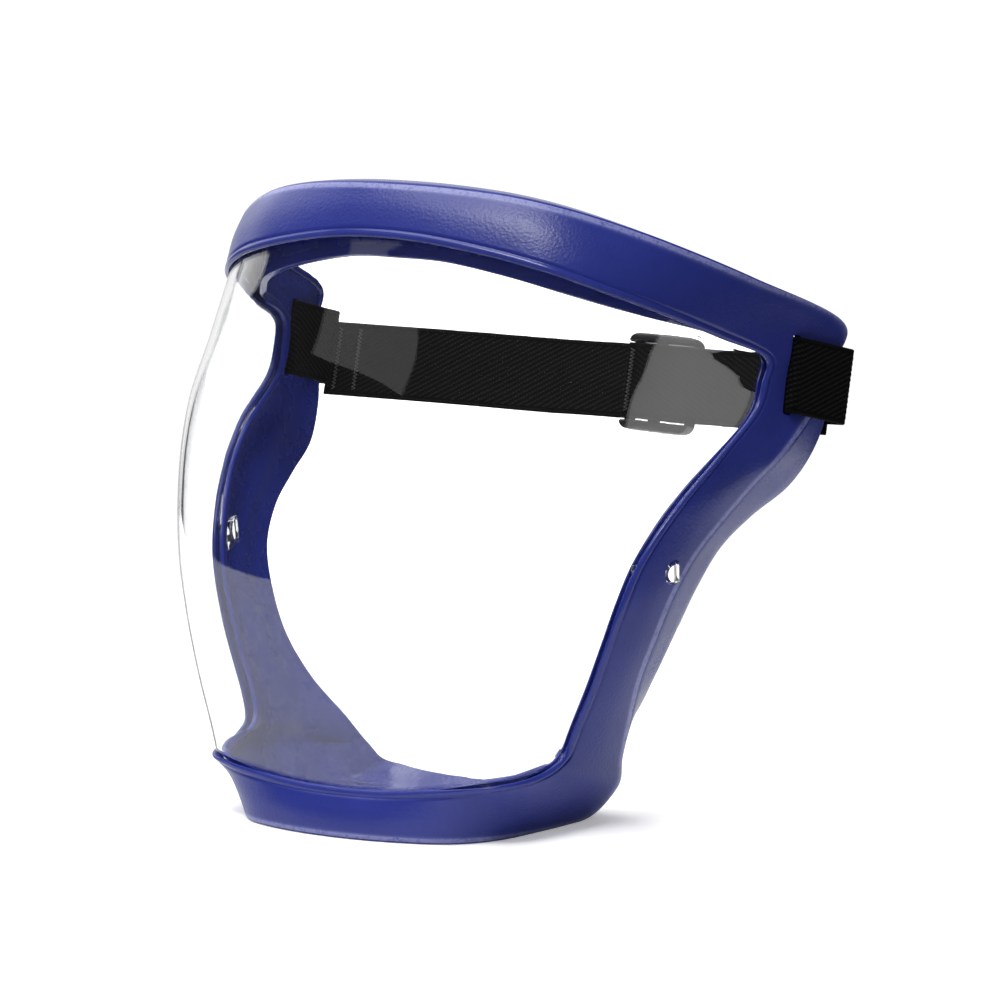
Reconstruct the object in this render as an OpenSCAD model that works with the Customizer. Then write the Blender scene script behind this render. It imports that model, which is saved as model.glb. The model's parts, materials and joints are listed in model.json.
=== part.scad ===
// Full-face shield: a moulded ring frame, a doubly curved clear visor clipped into it,
// and an elastic head strap looped through both temples with a sliding adjuster.
// Axes: the wearer faces -Y, +X is the wearer's left, +Z is up.
// Origin: centre of the overall box in plan, on the plane that the chin rests on.

/* [Frame] */
// Thickness of the moulded frame wall
wall = 2.4; // [2:0.1:3]
// How far the polished bead stands out from the visor
bead_h = 1.6; // [1:0.1:2]
// Outward crown of the band between bead and crease
band_crown = 0.8; // [0:0.1:1.5]

/* [Visor] */
// Thickness of the clear visor
visor_t = 2; // [1.5:0.1:2.2]
// How far the visor reaches under the bead
visor_lap = 2.4; // [1.5:0.1:2.6]
// Free space on each face of the visor inside its channel
visor_gap = 0.3; // [0.2:0.05:0.5]

/* [Strap] */
// Width of the elastic webbing
strap_w = 24; // [20:0.5:24.5]
// Thickness of the elastic webbing
strap_t = 1.3; // [1:0.1:1.6]
// Free space between the webbing and what it passes
strap_gap = 0.4; // [0.3:0.05:0.6]
// Backward lean of the webbing about the X axis
strap_lean = 14; // [10:1:18]

/* [Slider] */
// Length of the slider along the webbing
slider_l = 25; // [22:0.5:28]
// Height of the slider across the webbing
slider_h = 31; // [29:0.5:34]
// Distance from the middle of the face to the slider's centre
slider_x = 33; // [32:1:42]

/* [Smoothness] */
// Steps between neighbouring control stations of the frame
steps = 3; // [2:1:4]
// Cells of the visor from its middle to one side
visor_cells = 16; // [10:1:20]
// Cells of the visor from chin to brow
visor_rows = 22; // [12:1:26]

/* [Hidden] */

// Control stations run from the middle of the brow, round the wearer's left temple, down
// the left rail to the middle of the chin. The other half is their mirror image.
BROW_END = 7;
CHIN_START = 18;
LAST = 25;

// Edge of the visor opening, on the visor's outer surface
opening_edge = [
    [0, -44.5, 183.5], [18, -43.5, 182.5], [39, -39.5, 179], [56.5, -34.5, 174.5],
    [70, -25, 168.5], [80, -9.5, 161.5], [87, 13.5, 152.5], [92.5, 31, 145],
    [92.2, 30.5, 136.5], [91.5, 25.5, 127.5], [89.5, 8.5, 116], [86, -5.5, 105],
    [82.5, -15, 95], [79, -22.5, 84], [76, -26.5, 73], [72, -28.5, 60],
    [67, -29.5, 46], [62, -30.5, 34], [59.5, -32.5, 26], [58.8, -39.5, 22.5],
    [57, -50.5, 20.5], [52, -60, 19.5], [43, -63.5, 18.2], [30, -65.8, 16.8],
    [15, -67, 15.4], [0, -67.5, 15]];

// Outer crease: top edge of the band, back edge of the temple, fold of the rail and chin
crease = [
    [0, -36.5, 200], [18, -35, 199.5], [38, -30.5, 197.6], [55, -24, 194],
    [70, -13.5, 188.3], [83, 0.5, 181], [95, 23.5, 170.3], [101, 66, 153.8],
    [100.5, 65, 142], [99.8, 51.5, 127], [97.5, 37.5, 115], [93.5, 25.5, 106],
    [89.5, 14, 96], [86.5, 2.5, 86], [83.5, -5.5, 74.5], [79, -9, 60.5],
    [73, -8.5, 47], [67, -4.5, 33], [62.5, -1.5, 21], [60, -0.5, 11],
    [51.5, -4, 1], [49.5, -27, 0], [46.5, -49.5, 0], [37, -63.5, 0],
    [19, -70.5, 0], [0, -72.5, 0]];

// Free edge of the inner flange: back of the brow box, face edge of the rail, back of the chin
flange_edge = [
    [0, -28.5, 200], [17, -27.5, 199.5], [35, -23.5, 197.6], [50.5, -17.5, 194],
    [64.5, -8, 188.3], [77.5, 5, 181], [91.5, 25, 170.3], [98.3, 65.5, 153.8],
    [98, 64.5, 142], [98, 62.5, 127], [95.5, 58, 113.5], [92, 48.5, 102.5],
    [88, 32.5, 94.5], [85, 19, 86], [82, 10, 74.5], [77, 6, 61],
    [70.5, 4.5, 47], [62, 6.5, 34], [50, 9.5, 22], [41, 11, 12],
    [35, 10.5, 7.5], [27, 8.5, 6.5], [19, 4.5, 6.5], [12, 2.5, 6.5],
    [6, 1.5, 6.5], [0, 1.5, 6.5]];

// Middle of the flange along the chin, where the shell lies flat on the ground
chin_mid = [[54, 7, 12], [46, 7, 1], [39, 6.5, 0], [30, 1.5, 0], [20, -2.5, 0], [10, -4, 0], [0, -4.5, 0]];

// Lower edge of the brow's inner wall, which meets the visor channel at the temple
lip_edge = [
    [0, -35.5, 176.5], [17, -34.5, 176], [36, -30.5, 172.5], [52, -24.5, 168],
    [64, -15.5, 163.5], [75, 0, 157.5], [83.5, 16.5, 150.5], [89.5, 30.5, 143.5]];

// Outline of the visor on the middle plane, [y, z], in step with the rail's stations
visor_profile = [
    [-67.5, 15], [-69.5, 25], [-71.8, 43.5], [-73.2, 63], [-74, 81.5], [-73.8, 97],
    [-72, 112.5], [-69, 127], [-64, 142.5], [-57, 158.5], [-52, 169.5], [-44.5, 183.5]];

// Place of the visor channel: its depth, and the thickness of the lip behind it
channel_d = visor_lap + 1;
channel_w = visor_t + 2 * visor_gap;
lip_t = 1.3;

// Bead round the opening: places across it of its flat, its groove and the web's start, how deep
// the groove is, and how the nose rolls over the opening's edge
bead_flat = [0.6, 1.7];
groove_at = 2.3;
groove_depth = 0.45;
web_start = 3.1;
nose_out = 0.3;
nose_rise = 0.55;

// Width of the folded edge at the crease, place of the web's crown, its share of the crown's
// height, and how much flatter the web is over the temple plate
fold_w = 1.2;
crown_at = 0.55;
crown_share = 0.75;
temple_flat = 1.5;

// Stations over which the crown fades out before the temple and comes back after it, and over
// which the brow's box section closes to the rail's open one
crown_out = [4.5, 6.5];
flat_out = [5.5, 7];
crown_in = [9.5, 11];
box_out = [4.6, 6.6];

// Inside of the channel's lip, behind the bead
lip_from = [0.2, 0.8];
lip_past = 1.2;
lip_root = 3.2;
lip_root_depth = 1.4;
lip_rise = [0, 0, 0.4];
roof_depth = 0.8;

// How far down the brow's rear wall each inner corner of the rail's section starts
rear_steps = [0.08, 0.3, 0.55, 0.78, 0.94];

// Back edge of the left temple, where the webbing wraps round it, and the loop's direction
temple = [100.8, 66, 132.5];
temple_turn = -11;

// Slot that the webbing passes through: distance ahead of the temple's back edge, middle of the
// wall it goes through, width, and how far the cut reaches
slot_at = 25;
slot_mid = -1.7;
slot_w = 3.6;
slot_free = 0.6;
slot_reach = 14;

// Loop of webbing round the temple's back edge: its inner bend radius, and the centres of its
// bends in the temple's own axes; the inner side stands off to clear the turned-in flange
loop_r = 1.2;
loop_bends = [[0.35, -23.15], [0.35, -0.8], [-5.15, -0.8], [-1.65, -23.15]];

// Clip tab of the visor: the rail station it sits at, its size, the step down that clears the
// rail's web, and the lug on its end
tab_at = 13.35;
tab_from = 0.6;
tab_l = 19;
tab_w = 9;
tab_t = 1.5;
tab_top = -0.6;
step_at = 6.8;
step_lap = 0.8;
step_top = -1.6;
lug_r = 3.4;
lug_flat = 1.7;
lug_out = 2.4;
lug_from = 14;
lug_root = 0.5;
tab_free = 0.5;
window_reach = 8;

// The webbing across the back: height below the temple, split between its fixed ends and the
// part that pulls back, free end of the tail, and the slider's bars
span_drop = 3.6;
span_end = 70;
span_root = 95.6;
tail_end = 22;
bar_t = 1.4;
bar_w = 4;
bar_root = 0.5;
slider_free = 0.5;

// Bar tacks: size of the stitched bar, and how far each lies from the end of its layer
stitch_w = 1.6;
stitch_h = 20;
stitch_t = 0.4;
loop_tacks = [3, 11];
tail_tack = 1;
main_level = strap_gap;
bar_level = main_level - strap_gap - bar_t;
tail_level = bar_level - strap_gap - strap_t;
back_level = main_level + strap_t + strap_gap;

module frame_color() { color("royalblue") children(); }
module web_color() { color([0.08, 0.08, 0.09]) children(); }

// ---- curves ----
function catmull(a, b, c, d, t) =
    0.5 * (2 * b + (c - a) * t + (2 * a - 5 * b + 4 * c - d) * t * t
           + (3 * b - a - 3 * c + d) * t * t * t);
function mirror_x(p) = [-p[0], p[1], p[2]];
// Station of a list that is mirrored at both of its ends
function station(list, i) =
    i < 0 ? mirror_x(list[-i])
    : i > len(list) - 1 ? mirror_x(list[2 * (len(list) - 1) - i]) : list[i];
// Point at s stations along a list of control points
function along(list, s) =
    let (i = min(floor(s), len(list) - 2), t = s - i)
    catmull(station(list, i - 1), list[i], list[i + 1], station(list, i + 2), t);
// The same for a list whose ends aren't mirrored
function clamped(list, i) = list[max(0, min(len(list) - 1, i))];
function along_open(list, s) =
    let (i = min(floor(s), len(list) - 2), t = s - i)
    catmull(clamped(list, i - 1), list[i], list[i + 1], clamped(list, i + 2), t);

function unit(v) = v / norm(v);
function mix(a, b, k) = a * (1 - k) + b * k;
function grounded(p) = [p[0], p[1], max(0, p[2])];
function smooth(a, b, x) = let (k = max(0, min(1, (x - a) / (b - a)))) k * k * (3 - 2 * k);

// ---- directions at s stations along the frame ----
function tangent(s) =
    let (h = 0.05, a = max(0, s - h), b = min(LAST, s + h))
    unit(along(opening_edge, b) - along(opening_edge, a)
         + along(crease, b) - along(crease, a));
function web_dir(s) = unit(along(crease, s) - along(opening_edge, s));
function out_dir(s) = unit(cross(tangent(s), web_dir(s)));
function flange_in(s) =
    unit(cross(along(flange_edge, s) - along(crease, s), tangent(s)));
function flange_mid(s) =
    s <= CHIN_START ? (along(crease, s) + along(flange_edge, s)) / 2
    : s >= CHIN_START + 1 ? along_open(chin_mid, s - CHIN_START - 1)
    : mix((along(crease, s) + along(flange_edge, s)) / 2, chin_mid[0], smooth(0, 1, s - CHIN_START));

// ---- section of the frame at s stations, as a closed ring of points ----
function frame_section(s) =
    let (a = along(opening_edge, s), b = grounded(along(crease, s)), c = along(flange_edge, s),
         m = grounded(flange_mid(s)), w = web_dir(s), n = out_dir(s), f = unit(m - b),
         fn = flange_in(s), l = along_open(lip_edge, min(s, BROW_END)),
         long = norm(b - a), brow = 1 - smooth(box_out[0], box_out[1], s),
         back_in = smooth(crown_in[0], crown_in[1], s),
         crown = bead_h + band_crown * (1 - smooth(crown_out[0], crown_out[1], s) + back_in)
                 - temple_flat * (smooth(flat_out[0], flat_out[1], s) - back_in),
         middle = mix(a, b, crown_at) + n * crown * crown_share,
         fold = min(fold_w, norm(c - b) / 3),
         back = -channel_w - lip_t,
         rear = unit(l - c),
         inner = cross(tangent(s), rear) * wall,
         wall_at = [for (k = rear_steps) mix(c, l, k)])
    [a,
     a - w * nose_out + n * bead_h * nose_rise,
     a + w * bead_flat[0] + n * bead_h,
     a + w * bead_flat[1] + n * bead_h,
     a + w * groove_at + n * (bead_h - groove_depth),
     a + w * web_start + n * bead_h,
     middle,
     b - w * fold,
     b + f * fold,
     m,
     c,
     mix(c + fn * wall, wall_at[0], brow),
     mix(m + fn * wall, wall_at[1], brow),
     mix(b - n * wall + fn * wall, wall_at[2], brow),
     mix(middle - n * wall, wall_at[3], brow),
     mix(a + w * (channel_d + lip_root) - n * lip_root_depth, wall_at[4], brow),
     mix(a + w * (channel_d + lip_past) + n * back, l + lip_rise, brow),
     mix(a + w * lip_from[1] + n * back, l, brow),
     mix(a + w * lip_from[0] - n * channel_w, l + inner, brow),
     mix(a + w * channel_d - n * channel_w, c + rear * wall + inner, brow),
     mix(a + w * channel_d, a + w * (long - wall) - n * roof_depth, brow)];

// Stations of the whole ring: the left half, then its mirror image back to the brow
half = [for (i = [0 : LAST * steps]) i / steps];
ring = concat([for (s = half) frame_section(s)],
              [for (k = [LAST * steps - 1 : -1 : 1]) [for (p = frame_section(k / steps)) mirror_x(p)]]);

module closed_ring(sections) {
    count = len(sections);
    size = len(sections[0]);
    points = [for (section = sections) for (p = section) p];
    faces = [for (i = [0 : count - 1]) for (j = [0 : size - 1])
        let (i2 = (i + 1) % count, j2 = (j + 1) % size,
             a = i * size + j, b = i * size + j2, c = i2 * size + j2, d = i2 * size + j)
        for (t = [[a, c, d], [a, b, c]]) t];
    polyhedron(points = points, faces = faces, convexity = 10);
}

// Frame of the left temple: +Y runs back along the plate, +X points out of it
module at_temple() { translate(temple) rotate([-strap_lean, 0, 0]) rotate([0, 0, temple_turn]) children(); }
// Frame of the webbing across the back: +X along it, +Y away from the face
module at_span() { translate([0, temple[1], temple[2] - span_drop]) rotate([-strap_lean, 0, 0]) children(); }
// Frame of the left rail at s stations: +X across the rail, +Z out of it
module at_rail(s) {
    w = web_dir(s);
    n = out_dir(s);
    t = cross(n, w);
    a = along(opening_edge, s);
    multmatrix([[w[0], t[0], n[0], a[0]], [w[1], t[1], n[1], a[1]], [w[2], t[2], n[2], a[2]]]) children();
}
module both_sides() {
    children();
    mirror([1, 0, 0]) children();
}
// Box from its low corner to its high corner
module block(low, high) { translate(low) cube(high - low); }

module strap_slot() {
    at_temple() translate([slot_mid, -slot_at, 0])
        cube([slot_reach, slot_w, strap_w + 2 * slot_free], center = true);
}
// Outline of the lug, flat towards the back
module lug_outline(grow) {
    intersection() {
        circle(r = lug_r + grow, $fn = 48);
        translate([-lug_r - grow, -lug_r - grow]) square([lug_r + lug_flat + 2 * grow, 2 * (lug_r + grow)]);
    }
}
// Window for the lug, and the way for the tab through the end of the channel
module lug_window() {
    at_rail(tab_at) {
        translate([lug_from + lug_r, 0, -window_reach / 2]) linear_extrude(window_reach) lug_outline(tab_free);
        block([visor_lap, -tab_w / 2 - tab_free, -channel_w],
              [step_at + step_lap + tab_free, tab_w / 2 + tab_free, tab_top + visor_gap]);
    }
}

module face_frame() {
    frame_color() difference() {
        closed_ring(ring);
        both_sides() {
            strap_slot();
            lug_window();
        }
    }
}

// ---- visor ----
// Point of the outer surface: t from the middle (0) to the side (1), v from chin to brow
function visor_at(t, v) =
    let (side = along(opening_edge, mix(CHIN_START, BROW_END, v)),
         mid = along_open(visor_profile, v * (len(visor_profile) - 1)),
         brow = along(opening_edge, BROW_END * t),
         chin = along(opening_edge, LAST - (LAST - CHIN_START) * t),
         b0 = opening_edge[0], b1 = opening_edge[BROW_END],
         c0 = opening_edge[LAST], c1 = opening_edge[CHIN_START],
         x = mix(chin[0] / c1[0], brow[0] / b1[0], v),
         y = mix((chin[1] - c1[1]) / (c0[1] - c1[1]), (brow[1] - b1[1]) / (b0[1] - b1[1]), v),
         z = mix((chin[2] - c1[2]) / (c0[2] - c1[2]), (brow[2] - b1[2]) / (b0[2] - b1[2]), v))
    [side[0] * x, mix(side[1], mid[0], y), mix(side[2], mid[1], z)];
// Station of the frame that a border point of the visor meets
function border(t, v) =
    v <= 0 ? LAST - (LAST - CHIN_START) * t
    : v >= 1 ? BROW_END * t : mix(CHIN_START, BROW_END, v);
function is_border(t, v) = t >= 1 || v <= 0 || v >= 1;
function visor_normal(t, v) =
    is_border(t, v) ? out_dir(border(t, v))
    : let (h = 0.01, t0 = max(0, t - h), v0 = v - h)
      t0 == 0 ? unit(cross([1, 0, 0], visor_at(t, v + h) - visor_at(t, v0)))
      : unit(cross(visor_at(t + h, v) - visor_at(t0, v), visor_at(t, v + h) - visor_at(t, v0)));
function visor_layer(t, v, depth) =
    (is_border(t, v) ? along(opening_edge, border(t, v)) + web_dir(border(t, v)) * visor_lap
     : visor_at(t, v)) - visor_normal(t, v) * depth;
function visor_point(i, v, depth) =
    let (t = abs(i) / visor_cells, p = visor_layer(t, v, depth)) i < 0 ? mirror_x(p) : p;

module visor_shell() {
    cols = 2 * visor_cells + 1;
    rows = visor_rows + 1;
    total = cols * rows;
    points = [for (depth = [visor_gap, visor_gap + visor_t]) for (r = [0 : rows - 1])
              for (i = [-visor_cells : visor_cells]) visor_point(i, r / visor_rows, depth)];
    skins = [for (r = [0 : rows - 2]) for (i = [0 : cols - 2])
        let (a = r * cols + i, b = a + 1, c = b + cols, d = a + cols)
        for (f = [[a, c, b], [a, d, c], [a + total, b + total, c + total],
                  [a + total, c + total, d + total]]) f];
    rim = concat([for (i = [0 : cols - 2]) i],
                 [for (r = [0 : rows - 2]) r * cols + cols - 1],
                 [for (i = [cols - 1 : -1 : 1]) (rows - 1) * cols + i],
                 [for (r = [rows - 1 : -1 : 1]) r * cols]);
    walls = [for (k = [0 : len(rim) - 1])
        let (a = rim[k], b = rim[(k + 1) % len(rim)])
        for (f = [[a, b, b + total], [a, b + total, a + total]]) f];
    polyhedron(points = points, faces = concat(skins, walls), convexity = 6);
}

// Tab that runs back from the visor's edge, steps down behind the web and ends in the lug
module clip_tab() {
    at_rail(tab_at) {
        block([tab_from, -tab_w / 2, tab_top - tab_t], [step_at + step_lap, tab_w / 2, tab_top]);
        block([step_at, -tab_w / 2, step_top - tab_t], [tab_l, tab_w / 2, step_top]);
        translate([lug_from + lug_r, 0, step_top - lug_root])
            linear_extrude(lug_out - step_top + lug_root) lug_outline(0);
    }
}
module visor() {
    color([0.85, 0.9, 0.95, 0.35]) {
        visor_shell();
        both_sides() clip_tab();
    }
}

// ---- webbing ----
// Closed loop of webbing through the slot and round the back edge of a temple
module loop_ring() {
    translate([0, 0, -strap_w / 2]) linear_extrude(strap_w) difference() {
        offset(r = loop_r + strap_t, $fn = 48) polygon(loop_bends);
        offset(r = loop_r, $fn = 48) polygon(loop_bends);
    }
}
module strap_loop_left() { web_color() at_temple() loop_ring(); }
module strap_loop_right() { web_color() mirror([1, 0, 0]) at_temple() loop_ring(); }

// Layer of webbing across the back, from one place along X to another
module layer(from_x, to_x, level) {
    at_span() block([from_x, level, -strap_w / 2], [to_x, level + strap_t, strap_w / 2]);
}
module strap_span() { web_color() layer(-span_end, span_end, main_level); }
module strap_tail() { web_color() layer(tail_end, span_end, tail_level); }
module strap_end_left() {
    web_color() {
        layer(span_end, span_root, main_level);
        layer(span_end, span_root, tail_level);
    }
}
module strap_end_right() { web_color() layer(-span_root, -span_end, main_level); }

// Bar tack of thread, standing half out of a layer's front face
module bar_tack(x, level) {
    at_span() block([x, level - stitch_t / 2, -stitch_h / 2], [x + stitch_w, level + stitch_t / 2, stitch_h / 2]);
}
module loop_stitching() {
    web_color() for (from_end = loop_tacks) bar_tack(from_end - span_root, main_level);
}
module tail_stitching() { web_color() bar_tack(tail_end + tail_tack, tail_level); }

// Three-bar slider: the main layer passes in front of the outer bars and behind the middle one
module strap_slider() {
    rail_z = strap_w / 2 + slider_free;
    half_l = slider_l / 2;
    bar_z = rail_z + bar_root;
    color([0.05, 0.05, 0.06]) at_span() translate([slider_x, 0, 0]) {
        block([-half_l, bar_level, rail_z], [half_l, back_level + bar_t, slider_h / 2]);
        block([-half_l, bar_level, -slider_h / 2], [half_l, back_level + bar_t, -rail_z]);
        for (x = [-half_l, half_l - bar_w])
            block([x, back_level, -bar_z], [x + bar_w, back_level + bar_t, bar_z]);
        block([-bar_w / 2, bar_level, -bar_z], [bar_w / 2, bar_level + bar_t, bar_z]);
    }
}

face_frame();
visor();
strap_loop_left();
strap_loop_right();
strap_end_left();
strap_end_right();
strap_span();
strap_tail();
loop_stitching();
tail_stitching();
strap_slider();
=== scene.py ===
import json
import math

import bmesh
import bpy
import numpy as np
from mathutils import Matrix, Vector

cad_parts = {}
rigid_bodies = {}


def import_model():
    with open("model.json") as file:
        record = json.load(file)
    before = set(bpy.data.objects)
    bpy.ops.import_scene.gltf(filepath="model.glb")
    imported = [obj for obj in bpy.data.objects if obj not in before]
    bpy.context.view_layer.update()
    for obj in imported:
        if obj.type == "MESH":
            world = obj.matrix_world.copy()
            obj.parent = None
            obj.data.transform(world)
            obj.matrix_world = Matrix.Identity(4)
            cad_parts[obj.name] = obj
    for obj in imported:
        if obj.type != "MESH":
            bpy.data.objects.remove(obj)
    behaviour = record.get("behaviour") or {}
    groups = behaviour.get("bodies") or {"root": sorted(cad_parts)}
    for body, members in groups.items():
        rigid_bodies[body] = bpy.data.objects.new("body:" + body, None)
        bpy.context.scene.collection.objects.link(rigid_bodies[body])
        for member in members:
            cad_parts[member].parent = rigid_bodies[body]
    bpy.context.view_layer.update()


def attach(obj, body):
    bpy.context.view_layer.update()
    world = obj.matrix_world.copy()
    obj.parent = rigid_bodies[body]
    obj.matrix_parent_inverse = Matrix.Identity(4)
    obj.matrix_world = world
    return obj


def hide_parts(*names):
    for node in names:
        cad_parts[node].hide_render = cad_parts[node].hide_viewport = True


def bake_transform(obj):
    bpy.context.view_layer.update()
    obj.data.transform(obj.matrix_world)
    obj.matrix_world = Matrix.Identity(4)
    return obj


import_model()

MM = 0.001
scene = bpy.context.scene

# ---- the frame's and the visor's driving dimensions ----
WALL = 2.4
BEAD = 1.6
CROWN = 0.8
TEMPLE_FLAT = 1.5
FOLD_W = 1.2
VISOR_T = 2.0
VISOR_LAP = 2.4
VISOR_GAP = 0.3
CHANNEL_D = VISOR_LAP + 1
CHANNEL_W = VISOR_T + 2 * VISOR_GAP
LIP_T = 1.3

# Control stations from the middle of the brow (0), round the left temple (7) and down the left
# rail (18) to the middle of the chin (25); the right half is their mirror image.
BROW_END = 7
CHIN_START = 18
LAST = 25

# Bead round the opening: places across it of its flat, its groove and the web's start, how deep
# the groove is, and how the nose rolls over the opening's edge
BEAD_FLAT = (0.6, 1.7)
GROOVE_AT = 2.3
GROOVE_DEPTH = 0.45
WEB_START = 3.1
NOSE_OUT = 0.3
NOSE_RISE = 0.55

# Crown of the web: where across the web it is, its share of the rise, and the stations where
# the brow's crown fades, the temple flattens and the rail's crown starts
CROWN_AT = 0.55
CROWN_SHARE = 0.75
CROWN_OUT = (4.5, 6.5)
FLAT_OUT = (5.5, 7)
CROWN_IN = (9.5, 11)

# Lip that holds the visor's edge, and the brow's box section behind it
LIP_FROM = (0.2, 0.8)
LIP_PAST = CHANNEL_D + 1.2
LIP_ROOT = CHANNEL_D + 3.2
LIP_ROOT_DEPTH = 1.4
LIP_RISE = np.array([0, 0, 0.4])
ROOF_DEPTH = 0.8
BOX_OUT = (BROW_END - 2.4, BROW_END - 0.4)
REAR_STEPS = (0.08, 0.3, 0.55, 0.78, 0.94)

OPENING = np.array([
    [0, -44.5, 183.5], [18, -43.5, 182.5], [39, -39.5, 179], [56.5, -34.5, 174.5],
    [70, -25, 168.5], [80, -9.5, 161.5], [87, 13.5, 152.5], [92.5, 31, 145],
    [92.2, 30.5, 136.5], [91.5, 25.5, 127.5], [89.5, 8.5, 116], [86, -5.5, 105],
    [82.5, -15, 95], [79, -22.5, 84], [76, -26.5, 73], [72, -28.5, 60],
    [67, -29.5, 46], [62, -30.5, 34], [59.5, -32.5, 26], [58.8, -39.5, 22.5],
    [57, -50.5, 20.5], [52, -60, 19.5], [43, -63.5, 18.2], [30, -65.8, 16.8],
    [15, -67, 15.4], [0, -67.5, 15]])
CREASE = np.array([
    [0, -36.5, 200], [18, -35, 199.5], [38, -30.5, 197.6], [55, -24, 194],
    [70, -13.5, 188.3], [83, 0.5, 181], [95, 23.5, 170.3], [101, 66, 153.8],
    [100.5, 65, 142], [99.8, 51.5, 127], [97.5, 37.5, 115], [93.5, 25.5, 106],
    [89.5, 14, 96], [86.5, 2.5, 86], [83.5, -5.5, 74.5], [79, -9, 60.5],
    [73, -8.5, 47], [67, -4.5, 33], [62.5, -1.5, 21], [60, -0.5, 11],
    [51.5, -4, 1], [49.5, -27, 0], [46.5, -49.5, 0], [37, -63.5, 0],
    [19, -70.5, 0], [0, -72.5, 0]])
FLANGE = np.array([
    [0, -28.5, 200], [17, -27.5, 199.5], [35, -23.5, 197.6], [50.5, -17.5, 194],
    [64.5, -8, 188.3], [77.5, 5, 181], [91.5, 25, 170.3], [98.3, 65.5, 153.8],
    [98, 64.5, 142], [98, 62.5, 127], [95.5, 58, 113.5], [92, 48.5, 102.5],
    [88, 32.5, 94.5], [85, 19, 86], [82, 10, 74.5], [77, 6, 61],
    [70.5, 4.5, 47], [62, 6.5, 34], [50, 9.5, 22], [41, 11, 12],
    [35, 10.5, 7.5], [27, 8.5, 6.5], [19, 4.5, 6.5], [12, 2.5, 6.5],
    [6, 1.5, 6.5], [0, 1.5, 6.5]])
CHIN_MID = np.array([
    [54, 7, 12], [46, 7, 1], [39, 6.5, 0], [30, 1.5, 0], [20, -2.5, 0], [10, -4, 0], [0, -4.5, 0]])
LIP = np.array([
    [0, -35.5, 176.5], [17, -34.5, 176], [36, -30.5, 172.5], [52, -24.5, 168],
    [64, -15.5, 163.5], [75, 0, 157.5], [83.5, 16.5, 150.5], [89.5, 30.5, 143.5]])
# Outline of the visor on the middle plane, [y, z], from the chin to the brow
PROFILE = np.array([
    [-67.5, 15], [-69.5, 25], [-71.8, 43.5], [-73.2, 63], [-74, 81.5], [-73.8, 97],
    [-72, 112.5], [-69, 127], [-64, 142.5], [-57, 158.5], [-52, 169.5], [-44.5, 183.5]])

# ---- the webbing, the slider and the visor's clips ----
STRAP_W = 24
STRAP_T = 1.3
STRAP_GAP = 0.4
LEAN = math.radians(14)
TEMPLE = (100.8, 66, 132.5)
TEMPLE_TURN = math.radians(-11)
SLOT_AT = 25
SLOT_MID = -1.7
SLOT_W = 3.6
SLOT_REACH = 14
SLOT_FREE = 0.6
LOOP_R = 1.2
LOOP_BENDS = [(0.35, -23.15), (0.35, -0.8), (-5.15, -0.8), (-1.65, -23.15)]
SPAN_DROP = 3.6
SPAN_END = 70
SPAN_ROOT = 95.6
TAIL_END = 22
LOOP_TACKS = (3, 11)
TAIL_TACK = 1
SLIDER_X = 33
SLIDER_L = 25
SLIDER_H = 31
BAR_T = 1.4
BAR_W = 4
RAIL_FREE = 0.5
MAIN_LEVEL = STRAP_GAP
BAR_LEVEL = MAIN_LEVEL - STRAP_GAP - BAR_T
TAIL_LEVEL = BAR_LEVEL - STRAP_GAP - STRAP_T
BACK_LEVEL = MAIN_LEVEL + STRAP_T + STRAP_GAP
TAB_AT = 13.35
TAB_FROM = 0.6
TAB_L = 19
TAB_W = 9
TAB_T = 1.5
TAB_TOP = -0.6
TAB_FREE = 0.5
ROOT_FROM = TAB_FROM + 1.5
STEP_AT = 6.8
STEP_LAP = 0.8
STEP_TOP = -1.6
LUG_R = 3.4
LUG_FLAT = 1.7
LUG_OUT = 2.4
LUG_FROM = 14
LUG_ROOT = 0.6
WINDOW_HALF = 4


# ---- curves ----
def catmull(padded, s):
    """Catmull-Rom points at s stations along points that have one more at each end."""
    s = np.asarray(s, float)
    i = np.clip(np.floor(s).astype(int), 0, len(padded) - 4)
    t = (s - i)[..., None]
    a, b, c, d = (padded[i + k] for k in range(4))
    return 0.5 * (2 * b + (c - a) * t + (2 * a - 5 * b + 4 * c - d) * t**2
                  + (3 * b - a - 3 * c + d) * t**3)


def along(points, s):
    """Points along a list that is mirrored at both of its ends."""
    mirror = np.array([-1, 1, 1])
    return catmull(np.vstack([points[1] * mirror, points, points[-2] * mirror]), s)


def along_open(points, s):
    return catmull(np.vstack([points[:1], points, points[-1:]]), s)


def unit(v):
    return v / np.maximum(np.linalg.norm(v, axis=-1, keepdims=True), 1e-9)


def mix(a, b, k):
    return a * (1 - k) + b * k


def smooth(low, high, x):
    k = np.clip((x - low) / (high - low), 0, 1)
    return k * k * (3 - 2 * k)


def grounded(p):
    low = p.copy()
    low[..., 2] = np.maximum(low[..., 2], 0)
    return low


# ---- directions along the frame ----
def tangent(s):
    step = 0.05
    a = np.maximum(s - step, 0)
    b = np.minimum(s + step, LAST)
    return unit(along(OPENING, b) - along(OPENING, a) + along(CREASE, b) - along(CREASE, a))


def web_dir(s):
    return unit(along(CREASE, s) - along(OPENING, s))


def out_dir(s):
    return unit(np.cross(tangent(s), web_dir(s)))


def flange_mid(s):
    """Middle of the inner flange, which lies flat on the ground along the chin."""
    half = (along(CREASE, s) + along(FLANGE, s)) / 2
    flat = along_open(CHIN_MID, np.clip(s - CHIN_START - 1, 0, len(CHIN_MID) - 1))
    return mix(half, flat, smooth(0, 1, s - CHIN_START)[:, None])


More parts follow.
